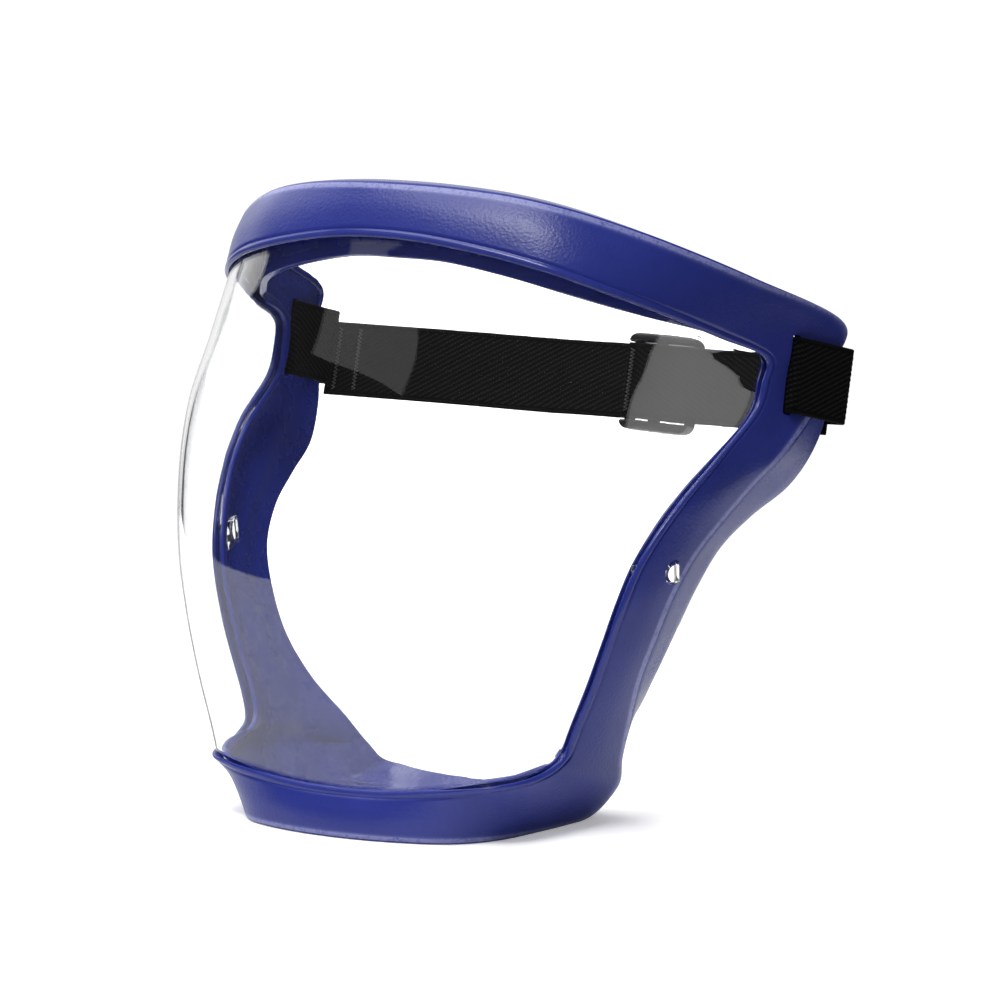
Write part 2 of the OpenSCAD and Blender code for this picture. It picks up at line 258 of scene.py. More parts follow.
def frame_corners(s):
    """Corner points of the frame's section at each station of s: an array (stations, corners, 3)."""
    a = along(OPENING, s)
    b = grounded(along(CREASE, s))
    c = along(FLANGE, s)
    m = grounded(flange_mid(s))
    lip = along_open(LIP, np.minimum(s, BROW_END))
    w = web_dir(s)
    n = out_dir(s)
    f = unit(m - b)
    inward = unit(np.cross(c - along(CREASE, s), tangent(s)))
    rear = unit(lip - c)
    inner = np.cross(tangent(s), rear)
    long = np.linalg.norm(b - a, axis=-1, keepdims=True)
    fold = np.minimum(FOLD_W, np.linalg.norm(c - b, axis=-1, keepdims=True) / 3)
    station = s[:, None]
    brow = 1 - smooth(*BOX_OUT, station)
    rail = smooth(*CROWN_IN, station)
    crown = (BEAD + CROWN * (1 - smooth(*CROWN_OUT, station) + rail)
             - TEMPLE_FLAT * (smooth(*FLAT_OUT, station) - rail))
    middle = mix(a, b, CROWN_AT)
    back = -CHANNEL_W - LIP_T
    rear_at = [mix(c, lip, step) for step in REAR_STEPS]
    corners = [
        a,
        a - w * NOSE_OUT + n * BEAD * NOSE_RISE,
        a + w * BEAD_FLAT[0] + n * BEAD,
        a + w * BEAD_FLAT[1] + n * BEAD,
        a + w * GROOVE_AT + n * (BEAD - GROOVE_DEPTH),
        a + w * WEB_START + n * BEAD,
        middle + n * crown * CROWN_SHARE,
        b - w * fold,
        b + f * fold,
        m,
        c,
        mix(c + inward * WALL, rear_at[0], brow),
        mix(m + inward * WALL, rear_at[1], brow),
        mix(b - n * WALL + inward * WALL, rear_at[2], brow),
        mix(middle + n * (crown * CROWN_SHARE - WALL), rear_at[3], brow),
        mix(a + w * LIP_ROOT - n * LIP_ROOT_DEPTH, rear_at[4], brow),
        mix(a + w * LIP_PAST + n * back, lip + LIP_RISE, brow),
        mix(a + w * LIP_FROM[1] + n * back, lip, brow),
        mix(a + w * LIP_FROM[0] - n * CHANNEL_W, lip + inner * WALL, brow),
        mix(a + w * CHANNEL_D - n * CHANNEL_W, c + rear * WALL + inner * WALL, brow),
        mix(a + w * CHANNEL_D, a + w * (long - WALL) - n * ROOF_DEPTH, brow)]
    return np.stack(corners, axis=1)


# How far each corner is rounded, how polished the mould was there, and how pale a mark it gets: a painted
# highlight along the crease, faint real wear at the bead and flange edges
CORNER_R = np.array([0.3, 0.5, 0.6, 0.4, 0.3, 0.5, 9, 1.1, 1.1, 5, 0.9,
                     0.9, 4, 3, 5, 1.2, 0.8, 0.5, 0.3, 0.4, 0.3])
CORNER_POLISH = np.array([1, 1, 1, 1, 0.8, 0.3, 0, 0.4, 0.6, 0.6, 0.7,
                          0.5, 0.5, 0.5, 0.5, 0.8, 1, 1, 1, 0.8, 0.8])
CORNER_SHEEN_AND_WEAR = np.array([0, 0.4, 0.7, 0.6, 0, 0.3, 0, 1, 0, 0, 0.7,
                        0.5, 0, 0, 0, 0.3, 0.6, 0.6, 0, 0, 0])
ARC = 4
MOST_OF_SIDE = 0.46


def filleted(corners):
    """Each corner of the sections as a short arc of ARC points."""
    before = np.roll(corners, 1, axis=1) - corners
    after = np.roll(corners, -1, axis=1) - corners
    before_l = np.linalg.norm(before, axis=-1, keepdims=True)
    after_l = np.linalg.norm(after, axis=-1, keepdims=True)
    cut = np.minimum(CORNER_R[None, :, None], MOST_OF_SIDE * np.minimum(before_l, after_l))
    start = corners + before / np.maximum(before_l, 1e-6) * cut
    end = corners + after / np.maximum(after_l, 1e-6) * cut
    t = np.linspace(0, 1, ARC)[None, None, :, None]
    arcs = (start[:, :, None] * (1 - t)**2 + corners[:, :, None] * 2 * t * (1 - t)
            + end[:, :, None] * t**2)
    return arcs.reshape(len(corners), -1, 3)


# ---- meshes ----
def link_mesh(name, points, faces):
    """A smooth-shaded mesh object from points in millimetres, its faces turned outwards."""
    mesh = bpy.data.meshes.new(name)
    mesh.from_pydata((np.asarray(points, float) * MM).tolist(), [], faces)
    obj = bpy.data.objects.new(name, mesh)
    scene.collection.objects.link(obj)
    bm = bmesh.new()
    bm.from_mesh(mesh)
    bmesh.ops.recalc_face_normals(bm, faces=bm.faces)
    bm.to_mesh(mesh)
    bm.free()
    mesh.shade_smooth()
    return obj


def add_values(obj, name, values):
    """A number for each point, which a material reads by name."""
    attribute = obj.data.attributes.new(name, "FLOAT", "POINT")
    attribute.data.foreach_set("value", np.asarray(values, np.float32).ravel())


def apply_modifiers(obj):
    graph = bpy.context.evaluated_depsgraph_get()
    mesh = bpy.data.meshes.new_from_object(obj.evaluated_get(graph))
    obj.modifiers.clear()
    obj.data = mesh


def combine(obj, others, operation):
    """Cuts others out of obj, or joins them to it, and removes them."""
    for other in others:
        step = obj.modifiers.new(other.name, "BOOLEAN")
        step.operation = operation
        step.solver = "EXACT"
        step.object = other
    apply_modifiers(obj)
    for other in others:
        bpy.data.objects.remove(other)
    return obj


def sharpen(obj, degrees):
    obj.data.shade_smooth()
    obj.data.set_sharp_from_angle(angle=math.radians(degrees))


def soften_edges(obj, width, segments, degrees):
    """Rounds the edges that are sharper than an angle."""
    edges = obj.modifiers.new("edges", "BEVEL")
    edges.width = width * MM
    edges.segments = segments
    edges.limit_method = "ANGLE"
    edges.angle_limit = math.radians(degrees)
    apply_modifiers(obj)


def ring_faces(count, size, closed):
    """Quads between neighbouring rings of size points each."""
    rings = count if closed else count - 1
    return [(i * size + j, i * size + (j + 1) % size,
             (i + 1) % count * size + (j + 1) % size, (i + 1) % count * size + j)
            for i in range(rings) for j in range(size)]


def rounded_outline(width, height, radius, parts=6):
    """Points of a rounded rectangle about the origin."""
    turns = np.linspace(0, math.pi / 2, parts)
    points = []
    for quarter, (sx, sy) in enumerate([(1, 1), (-1, 1), (-1, -1), (1, -1)]):
        for turn in turns + quarter * math.pi / 2:
            points.append((sx * (width / 2 - radius) + radius * math.cos(turn),
                           sy * (height / 2 - radius) + radius * math.sin(turn)))
    return points


def rounded_polygon(bends, radius, parts=8):
    """Points at a radius round a polygon's corners, which run clockwise or anticlockwise."""
    points = []
    for k, corner in enumerate(bends):
        before, after = bends[k - 1], bends[(k + 1) % len(bends)]
        first = math.atan2(corner[1] - before[1], corner[0] - before[0]) - math.pi / 2
        last = math.atan2(after[1] - corner[1], after[0] - corner[0]) - math.pi / 2
        sweep = (last - first) % (2 * math.pi)
        for turn in np.linspace(first, first + sweep, parts):
            points.append((corner[0] + radius * math.cos(turn), corner[1] + radius * math.sin(turn)))
    return points


def lug_outline(grow, parts=24):
    """Outline of a clip's lug: a disc that is cut flat towards the back."""
    flat = LUG_FLAT + grow
    half = math.acos(flat / (LUG_R + grow))
    turns = np.linspace(half, 2 * math.pi - half, parts)
    return [((LUG_R + grow) * math.cos(t), (LUG_R + grow) * math.sin(t)) for t in turns]


def prism(name, outline, low, high, place, plane="xy"):
    """An outline pushed from low to high along the third axis, in the place's own axes."""
    count = len(outline)
    points = []
    for level in (low, high):
        for p, q in outline:
            point = {"xy": (p, q, level), "yz": (level, p, q), "xz": (p, level, q)}[plane]
            points.append(place @ Vector(point))
    sides = [(i, (i + 1) % count, (i + 1) % count + count, i + count) for i in range(count)]
    caps = [tuple(range(count)), tuple(range(count, 2 * count))]
    return link_mesh(name, points, sides + caps)


def block(name, low, high, radius, place):
    """A box with rounded edges, in the place's own axes."""
    bm = bmesh.new()
    bmesh.ops.create_cube(bm, size=1)
    size = Vector(high) - Vector(low)
    middle = (Vector(high) + Vector(low)) / 2
    for vert in bm.verts:
        vert.co = Vector(c * s for c, s in zip(vert.co, size)) + middle
    if radius:
        bmesh.ops.bevel(bm, geom=bm.edges[:], offset=radius, segments=4, profile=0.5, affect="EDGES")
    points = [place @ vert.co for vert in bm.verts]
    faces = [tuple(vert.index for vert in face.verts) for face in bm.faces]
    bm.free()
    return link_mesh(name, points, faces)


# ---- places ----
MIRROR = Matrix.Diagonal((-1, 1, 1, 1))


def temple_place(side):
    """Axes of a temple's back edge: +Y runs back along the plate, +X out of it on the left."""
    place = (Matrix.Translation(TEMPLE) @ Matrix.Rotation(-LEAN, 4, "X")
             @ Matrix.Rotation(TEMPLE_TURN, 4, "Z"))
    return place if side > 0 else MIRROR @ place


def span_place():
    """Axes of the webbing across the back: +X along it, +Y away from the face."""
    middle = (0, TEMPLE[1], TEMPLE[2] - SPAN_DROP)
    return Matrix.Translation(middle) @ Matrix.Rotation(-LEAN, 4, "X")


def rail_place(side):
    """Axes of a rail at the visor's clip: +X across the rail, +Z out of it."""
    s = np.array([TAB_AT])
    w = Vector(web_dir(s)[0])
    n = Vector(out_dir(s)[0])
    t = n.cross(w)
    place = Matrix((w, t, n)).transposed().to_4x4()
    place.translation = Vector(along(OPENING, s)[0])
    return place if side > 0 else MIRROR @ place


# ---- the moulded frame ----
STEPS = 16


def frame_ring():
    """The whole ring of rounded sections, with no cuts yet."""
    stations = np.arange(LAST * STEPS + 1) / STEPS
    left = filleted(frame_corners(stations))
    right = left[-2:0:-1] * np.array([-1, 1, 1])
    rings = np.concatenate([left, right])
    count, size = rings.shape[:2]
    obj = link_mesh("moulded_frame", rings.reshape(-1, 3), ring_faces(count, size, True))
    add_values(obj, "polish", np.tile(np.repeat(CORNER_POLISH, ARC), count))
    # Pale mark per corner: painted highlight along the crease, faint wear at other edges
    add_values(obj, "sheen_and_wear", np.tile(np.repeat(CORNER_SHEEN_AND_WEAR, ARC), count))
    return obj


def strap_slot(side):
    outline = rounded_outline(SLOT_W, STRAP_W + 2 * SLOT_FREE, 0.9)
    shifted = [(p - SLOT_AT, q) for p, q in outline]
    low, high = SLOT_MID - SLOT_REACH / 2, SLOT_MID + SLOT_REACH / 2
    return prism("slot", shifted, low, high, temple_place(side), "yz")


def lug_window(side):
    outline = [(p + LUG_FROM + LUG_R, q) for p, q in lug_outline(TAB_FREE)]
    return prism("window", outline, -WINDOW_HALF, WINDOW_HALF, rail_place(side))


def tab_way(side):
    """Way for the visor's tab through the end of the channel."""
    half = TAB_W / 2 + TAB_FREE
    high = (STEP_AT + STEP_LAP + TAB_FREE, half, TAB_TOP + VISOR_GAP)
    return block("way", (VISOR_LAP, -half, -CHANNEL_W), high, 0, rail_place(side))


def build_frame():
    obj = frame_ring()
    cutters = [cut(side) for side in (1, -1) for cut in (strap_slot, lug_window, tab_way)]
    combine(obj, cutters, "DIFFERENCE")
    sharpen(obj, 34)
    return obj


# ---- the visor ----
COLUMNS = 36
ROWS = 72


def visor_surface(t, v):
    """Outer surface: t from the middle (0) to the side (1), v from the chin (0) to the brow (1)."""
    side = along(OPENING, mix(CHIN_START, BROW_END, v))
    mid = along_open(PROFILE, v * (len(PROFILE) - 1))
    brow = along(OPENING, BROW_END * t)
    chin = along(OPENING, LAST - (LAST - CHIN_START) * t)
    b0, b1, c0, c1 = OPENING[0], OPENING[BROW_END], OPENING[LAST], OPENING[CHIN_START]
    x = mix(chin[:, 0] / c1[0], brow[:, 0] / b1[0], v)
    y = mix((chin[:, 1] - c1[1]) / (c0[1] - c1[1]), (brow[:, 1] - b1[1]) / (b0[1] - b1[1]), v)
    z = mix((chin[:, 2] - c1[2]) / (c0[2] - c1[2]), (brow[:, 2] - b1[2]) / (b0[2] - b1[2]), v)
    return np.stack([side[:, 0] * x, mix(side[:, 1], mid[:, 0], y), mix(side[:, 2], mid[:, 1], z)],
                    axis=1)


def visor_layer(t, v, depth):
    """Points of the visor at a depth below its outer surface; the border runs on under the bead."""
    h = 0.01
    t0 = np.maximum(t - h, 0)
    across = visor_surface(t + h, v) - visor_surface(t0, v)
    up = visor_surface(t, np.minimum(v + h, 1)) - visor_surface(t, np.maximum(v - h, 0))
    normal = unit(np.cross(across, up))
    points = visor_surface(t, v)
    edge = np.where(v <= 0, LAST - (LAST - CHIN_START) * t,
                    np.where(v >= 1, BROW_END * t, mix(CHIN_START, BROW_END, v)))
    border = ((t >= 1) | (v <= 0) | (v >= 1))[:, None]
    points = np.where(border, along(OPENING, edge) + web_dir(edge) * VISOR_LAP, points)
    return points - np.where(border, out_dir(edge), normal) * depth


def build_visor():
    """The clear shell as one closed mesh of two skins and a rim."""
    cols = 2 * COLUMNS + 1
    rows = ROWS + 1
    i, r = np.meshgrid(np.arange(cols) - COLUMNS, np.arange(rows))
    t = np.abs(i.ravel()) / COLUMNS
    v = r.ravel() / ROWS
    flip = np.where(i.ravel() < 0, -1, 1)
    skins = []
    for depth in (VISOR_GAP, VISOR_GAP + VISOR_T):
        points = visor_layer(t, v, depth)
        points[:, 0] *= flip
        skins.append(points)
    total = cols * rows
    faces = []
    for row in range(rows - 1):
        for col in range(cols - 1):
            a = row * cols + col
            quad = (a, a + 1, a + 1 + cols, a + cols)
            faces += [quad, tuple(index + total for index in reversed(quad))]
    rim = (list(range(cols - 1)) + [row * cols + cols - 1 for row in range(rows - 1)]
           + [(rows - 1) * cols + col for col in range(cols - 1, 0, -1)]
           + [row * cols for row in range(rows - 1, 0, -1)])
    for k, a in enumerate(rim):
        b = rim[(k + 1) % len(rim)]
        faces.append((a, b, b + total, a + total))
    obj = link_mesh("clear_visor", np.concatenate(skins), faces)
    sharpen(obj, 40)
    return obj


def build_clip(side):
    """A tab that steps down behind the web, and the lug that shows in the rail's window."""
    place = rail_place(side)
    half = TAB_W / 2
    rounding = 0.4
    root = block("root", (ROOT_FROM, -half, TAB_TOP - TAB_T), (STEP_AT + STEP_LAP, half, TAB_TOP),
                 rounding, place)
    tab = block("tab", (STEP_AT, -half, STEP_TOP - TAB_T), (TAB_L, half, STEP_TOP), rounding, place)
    outline = [(p + LUG_FROM + LUG_R, q) for p, q in lug_outline(-0.1)]
    lug = prism("lug", outline, STEP_TOP - LUG_ROOT, LUG_OUT, place)
    soften_edges(lug, 0.6, 4, 50)
    return combine(tab, [root, lug], "UNION")


def build_clips():
    return join("visor_clips", [build_clip(side) for side in (1, -1)])


def join(name, parts):
    """One object from several separate closed shells."""
    mesh = bpy.data.meshes.new(name)
    bm = bmesh.new()
    for part in parts:
        bm.from_mesh(part.data)
        bpy.data.objects.remove(part)
    bm.to_mesh(mesh)
    bm.free()
    obj = bpy.data.objects.new(name, mesh)
    scene.collection.objects.link(obj)
    sharpen(obj, 40)
    return obj


# ---- webbing ----
THREAD = 0.36
TWILL_TURN = math.radians(28)
TWILL_PITCH = 1.5
STITCH_PITCH = 1.15
SELVAGE = 1.3
SELVAGE_GROOVE = 0.25
CORD_PITCH = 0.9
RELIEF = 0.16
EDGE_POINTS = 5


def weave_height(u, v, hand):
    """Height of the webbing's surface, 0 to 1, at u along it and v across it."""
    along_row = u * math.cos(TWILL_TURN) + hand * v * math.sin(TWILL_TURN)
    across_row = -hand * u * math.sin(TWILL_TURN) + v * math.cos(TWILL_TURN)
    rows = 0.5 + 0.5 * np.cos(2 * math.pi * across_row / TWILL_PITCH)
    stagger = 0.5 * across_row / TWILL_PITCH
    stitches = 0.5 + 0.5 * np.cos(2 * math.pi * (along_row / STITCH_PITCH + stagger))
    twill = rows * (0.55 + 0.45 * stitches)
    from_edge = STRAP_W / 2 - np.abs(v)
    cord = 0.45 + 0.25 * np.cos(2 * math.pi * u / CORD_PITCH)
    groove = np.exp(-((from_edge - SELVAGE) / SELVAGE_GROOVE)**2)
    body = np.where(from_edge > SELVAGE, twill, cord)
    return np.clip(body - 0.8 * groove, 0, 1)


def strip_section():
    """Outline of the webbing's section: places across it and which face each lies on."""
    half = STRAP_W / 2 - STRAP_T / 2
    flat = np.linspace(-half, half, int(2 * half / THREAD))
    turns = np.linspace(0, math.pi, EDGE_POINTS + 2)[1:-1]
    across = np.concatenate([flat, half + STRAP_T / 2 * np.sin(turns),
                             flat[::-1], -half - STRAP_T / 2 * np.sin(turns)])
    face = np.concatenate([np.ones(len(flat)), np.cos(turns), -np.ones(len(flat)), -np.cos(turns)])
    return across, face


def strip_caps(count, size):
    """Faces that close both ends of a strip: quads between its two faces, and a fan at each edge."""
    flat = size // 2 - EDGE_POINTS
    back = 2 * flat + EDGE_POINTS - 1
    faces = []
    for base in (0, (count - 1) * size):
        faces += [(base + j, base + j + 1, base + back - 1 - j, base + back - j)
                  for j in range(flat - 1)]
        for first in (flat - 1, back):
            faces.append(tuple(base + k % size for k in range(first, first + EDGE_POINTS + 2)))
    return faces


def webbing(name, path, facing, width_dir, closed=False, start_u=0, hand=1):
    """A strip of woven elastic along path, with real ribs and corded edges on both faces.
    path and facing hold a point and a face direction for each step of the strip."""
    across, face = strip_section()
    steps = np.linalg.norm(np.diff(path, axis=0), axis=1)
    u = start_u + np.concatenate([[0], np.cumsum(steps)])
    count, size = len(path), len(across)
    uu = np.repeat(u, size)
    vv = np.tile(across, count)
    side = np.tile(face, count)
    height = weave_height(uu, vv, np.where(side > 0, hand, -hand))
    half_t = STRAP_T / 2 - RELIEF * (1 - height) * np.abs(side)
    offset = (side * half_t)[:, None]
    points = (np.repeat(path, size, axis=0) + vv[:, None] * np.asarray(width_dir)
              + offset * np.repeat(facing, size, axis=0))
    faces = ring_faces(count, size, closed)
    if not closed:
        faces += strip_caps(count, size)
    obj = link_mesh(name, points, faces)
    add_values(obj, "crest", height)
    add_values(obj, "along_mm", uu)
    add_values(obj, "across_mm", vv)
    return obj


def placed(place, points, directions=False):
    """Points, or directions, taken from a place's own axes to the row frame."""
    turn = np.array(place.to_3x3())
    moved = np.asarray(points, float) @ turn.T
    return moved if directions else moved + np.array(place.translation)


def layer(name, from_x, to_x, level, start_u, hand=1):
    """A flat layer of webbing across the back of the head."""
    place = span_place()
    count = max(2, round(abs(to_x - from_x) / THREAD) + 1)
    x = np.linspace(from_x, to_x, count)
    path = np.stack([x, np.full(count, level + STRAP_T / 2), np.zeros(count)], axis=1)
    facing = np.tile([0.0, -1, 0], (count, 1))
    return webbing(name, placed(place, path), placed(place, facing, True),
                   placed(place, [0, 0, 1.0], True), start_u=start_u, hand=hand)


def loop(name, side):
    """The closed loop of webbing through a temple's slot and round its back edge."""
    place = temple_place(side)
    points = np.array(rounded_polygon(LOOP_BENDS, LOOP_R + STRAP_T / 2))
    looped = np.vstack([points, points[:1]])
    run = np.concatenate([[0], np.cumsum(np.linalg.norm(np.diff(looped, axis=0), axis=1))])
    count = round(run[-1] / THREAD)
    at = np.arange(count) * run[-1] / count
    plan = np.stack([np.interp(at, run, looped[:, 0]), np.interp(at, run, looped[:, 1])], axis=1)
    ahead = np.roll(plan, -1, axis=0) - np.roll(plan, 1, axis=0)
    ahead /= np.linalg.norm(ahead, axis=1, keepdims=True)
    path = np.column_stack([plan, np.zeros(count)])
    facing = np.column_stack([ahead[:, 1], -ahead[:, 0], np.zeros(count)])
    return webbing(name, placed(place, path), placed(place, facing, True),
                   placed(place, [0, 0, 1.0], True), closed=True)


# ---- thread ----
def tube(name, path, radius, sides=6):
    """A thread along a path."""
    ahead = unit(np.gradient(path, axis=0))
    askew = [0.13, 0.21, 0.97]
    side = unit(np.cross(ahead, askew))
    other = np.cross(ahead, side)
    turns = np.arange(sides) * 2 * math.pi / sides
    ring = (np.cos(turns)[None, :, None] * side[:, None]
            + np.sin(turns)[None, :, None] * other[:, None])
    points = (path[:, None] + ring * radius).reshape(-1, 3)
    faces = ring_faces(len(path), sides, False)
    faces += [tuple(range(sides)), tuple(range(len(points) - sides, len(points)))]
    return link_mesh(name, points, faces)


def bar_tack(name, x, level):
    """Close zigzag stitches across the webbing, lying on a layer's front face."""
    height = 20
    zigs = 34
    swing = 0.65
    thread_r = 0.17
    z = np.linspace(-height / 2, height / 2, zigs * 4 + 1)
    phase = np.linspace(0, zigs * math.pi, zigs * 4 + 1)
    path = np.stack([x + 0.8 - swing * np.cos(phase), level - 0.02 - 0.12 * np.sin(phase)**2, z], axis=1)
    return tube(name, placed(span_place(), path), thread_r)


# ---- the slider ----
def build_slider():
    """Three-bar slider: outer bars behind the main layer, the middle bar in front of it."""
    place = span_place() @ Matrix.Translation((SLIDER_X, 0, 0))
    rail_z = STRAP_W / 2 + RAIL_FREE
    reach_z = rail_z + 1.6
    inset = 0.02
    half_l = SLIDER_L / 2
    parts = []
    for side in (1, -1):
        low_z, high_z = sorted((side * rail_z, side * SLIDER_H / 2))
        parts.append(block("rail", (-half_l, BAR_LEVEL, low_z),
                           (half_l, BACK_LEVEL + BAR_T, high_z), 0.9, place))
    for x in (-half_l, half_l - BAR_W):
        parts.append(block("bar", (x + 0.1, BACK_LEVEL + inset, -reach_z),
                           (x + BAR_W, BACK_LEVEL + BAR_T - inset, reach_z), 0.55, place))
    parts.append(block("middle_bar", (-BAR_W / 2, BAR_LEVEL + inset, -reach_z),
                       (BAR_W / 2, BAR_LEVEL + BAR_T - inset, reach_z), 0.55, place))
    body = combine(parts[0], parts[1:], "UNION")
    outline = rounded_outline(SLIDER_L, SLIDER_H, 4, 10)
    limits = prism("limits", outline, BAR_LEVEL - 1, BACK_LEVEL + BAR_T + 1, place, "xz")
    combine(body, [limits], "INTERSECT")
    soften_edges(body, 0.35, 3, 40)
    body.name = "three_bar_slider"
    sharpen(body, 40)
    return body


# ---- materials ----
def new_material(name):
    mat = bpy.data.materials.new(name)
    mat.use_nodes = True
    return mat, mat.node_tree.nodes["Principled BSDF"]


def feed(mat, node, values):
    """Sets or links a node's input sockets by name or number."""
    for key, value in values.items():
        if isinstance(value, bpy.types.NodeSocket):
            mat.node_tree.links.new(value, node.inputs[key])
        else:
            node.inputs[key].default_value = value


def add_node(mat, kind, values=None, **settings):
    """A node with its settings and its inputs."""
    node = mat.node_tree.nodes.new(kind)
    for key, value in settings.items():
        setattr(node, key, value)
    feed(mat, node, values or {})
    return node


def math_node(mat, operation, a, b=0.0):
    return add_node(mat, "ShaderNodeMath", {0: a, 1: b}, operation=operation).outputs[0]


def place_of(mat):
    """The piece's own coordinates, in metres."""
    return add_node(mat, "ShaderNodeTexCoord").outputs["Object"]


def attribute(mat, name):
    return add_node(mat, "ShaderNodeAttribute", attribute_name=name).outputs["Fac"]


def ranged(mat, value, low, high):
    """A value from 0 to 1 as one from low to high."""
    return add_node(mat, "ShaderNodeMapRange", {"Value": value, "To Min": low, "To Max": high}).outputs[0]


def eased(mat, value, low, high):
    """0 below low and 1 above high, smooth between."""
    return add_node(mat, "ShaderNodeMapRange", {"Value": value, "From Min": low, "From Max": high},
                    interpolation_type="SMOOTHSTEP").outputs[0]


def colours(mat, value, *stops):
    """A ramp of colours, each stop (place, colour)."""
    node = add_node(mat, "ShaderNodeValToRGB", {"Fac": value})
    while len(node.color_ramp.elements) < len(stops):
        node.color_ramp.elements.new(0.5)
    for element, (at, colour) in zip(node.color_ramp.elements, stops):
        element.position = at
        element.color = (*colour, 1)
    return node.outputs["Color"]


def noise(mat, size_mm, detail=3, roughness=0.55):
    """Noise whose features are about size_mm across."""
    return add_node(mat, "ShaderNodeTexNoise", {"Vector": place_of(mat), "Scale": 1 / (size_mm * MM),
                    "Detail": detail, "Roughness": roughness}).outputs["Fac"]


def frame_plastic():
    """Royal blue moulding: grained on the band and rails, polished along the bead and channel."""
    mat, shader = new_material("frame_plastic")
    polish = attribute(mat, "polish")
    sheen_and_wear = attribute(mat, "sheen_and_wear")
    cloud = noise(mat, 26)
    blue = colours(mat, cloud, (0.3, (0.014, 0.023, 0.180)), (0.7, (0.019, 0.029, 0.212)))
    # Pale mark: a painted highlight along the crease (the corner at full strength), broken into patches
    # by noise, with faint wear on the bead and flange edges
    patchiness = noise(mat, 1.4, 5, 0.7)
    edge = math_node(mat, "POWER", sheen_and_wear, 8.0)
    pale_mark = math_node(mat, "MULTIPLY", edge, eased(mat, patchiness, 0.2, 0.55))
    pale = add_node(mat, "ShaderNodeMix", {"Factor": math_node(mat, "MULTIPLY", pale_mark, 0.5),
                    "A": blue, "B": (0.32, 0.34, 0.62, 1)}, data_type="RGBA").outputs["Result"]
    cells = add_node(mat, "ShaderNodeTexVoronoi", {"Vector": place_of(mat), "Scale": 1 / MM,
                     "Smoothness": 0.6}, feature="SMOOTH_F1").outputs["Distance"]
    fine = noise(mat, 0.6, 3, 0.6)
    grain = math_node(mat, "ADD", cells, fine)
    rough = ranged(mat, polish, 0.34, 0.2)
    smear = ranged(mat, noise(mat, 9, 4, 0.6), -0.05, 0.06)
    bump = add_node(mat, "ShaderNodeBump", {"Strength": ranged(mat, polish, 0.5, 0.02),
                    "Distance": 0.12 * MM, "Height": grain}).outputs["Normal"]
    feed(mat, shader, {"Base Color": pale, "Roughness": math_node(mat, "ADD", rough, smear),
                       "Normal": bump, "IOR": 1.5, "Specular IOR Level": 0.35})
    return mat


def clear_plastic(name, tint, roughness):
    """Clear polycarbonate that lets lamps through to what lies behind it."""
    mat, shader = new_material(name)
    haze = ranged(mat, noise(mat, 40, 4, 0.6), roughness, roughness + 0.015)
    feed(mat, shader, {"Base Color": (*tint, 1), "Roughness": haze, "IOR": 1.5,
                       "Transmission Weight": 1.0})
    path = add_node(mat, "ShaderNodeLightPath").outputs["Is Shadow Ray"]
    open_shader = add_node(mat, "ShaderNodeBsdfTransparent", {"Color": (*tint, 1)}).outputs[0]
    both = add_node(mat, "ShaderNodeMixShader", {0: path, 1: shader.outputs[0], 2: open_shader})
    output = mat.node_tree.nodes["Material Output"]
    mat.node_tree.links.new(both.outputs[0], output.inputs["Surface"])
    return mat


def webbing_fabric():
    """Black woven elastic: dull valleys with painted shade, and ribs whose threads get a painted
    highlight.
    """
    mat, shader = new_material("webbing_fabric")
    crest = attribute(mat, "crest")
    yarn = noise(mat, 0.28, 2, 0.7)
    # Painted highlight on the rib crests and painted shade in the valleys: the weave's height, broken by
    # yarn noise, sets how light the black is
    lit = math_node(mat, "MULTIPLY", crest, ranged(mat, yarn, 0.2, 1.5))
    shade = colours(mat, lit, (0.15, (0.0012, 0.0012, 0.0013)), (0.6, (0.005, 0.005, 0.0052)),
                    (1.0, (0.03, 0.03, 0.032)))
    bump = add_node(mat, "ShaderNodeBump", {"Strength": 0.5, "Distance": 0.06 * MM, "Height": yarn})
    feed(mat, shader, {"Base Color": shade, "Roughness": ranged(mat, crest, 0.9, 0.62),
                       "Normal": bump.outputs["Normal"], "Sheen Weight": 0.01, "Sheen Roughness": 0.5,
                       "Specular IOR Level": 0.06})
    return mat


def slider_plastic():
    """Black satin plastic with a very fine moulded grain."""
    mat, shader = new_material("slider_plastic")
    shade = colours(mat, noise(mat, 5), (0.3, (0.007, 0.007, 0.008)), (0.7, (0.012, 0.012, 0.013)))
    fine = noise(mat, 0.22, 2)
    bump = add_node(mat, "ShaderNodeBump", {"Strength": 0.25, "Distance": 0.02 * MM, "Height": fine})
    feed(mat, shader, {"Base Color": shade, "Roughness": ranged(mat, noise(mat, 3, 4), 0.3, 0.44),
                       "Normal": bump.outputs["Normal"]})
    return mat


def thread_fibre():
    """Black sewing thread, a little shinier than the webbing."""
    mat, shader = new_material("thread_fibre")
    strands = noise(mat, 0.15, 2)
    shade = colours(mat, strands, (0.3, (0.008, 0.008, 0.009)), (0.7, (0.03, 0.03, 0.032)))
    bump = add_node(mat, "ShaderNodeBump", {"Strength": 0.4, "Distance": 0.03 * MM, "Height": strands})
    feed(mat, shader, {"Base Color": shade, "Roughness": 0.55, "Normal": bump.outputs["Normal"],
                       "Sheen Weight": 0.1})
    return mat


# ---- studio ----
def aim(obj, place, target):
    obj.location = place
    obj.rotation_euler = (Vector(target) - Vector(place)).to_track_quat("-Z", "Y").to_euler()


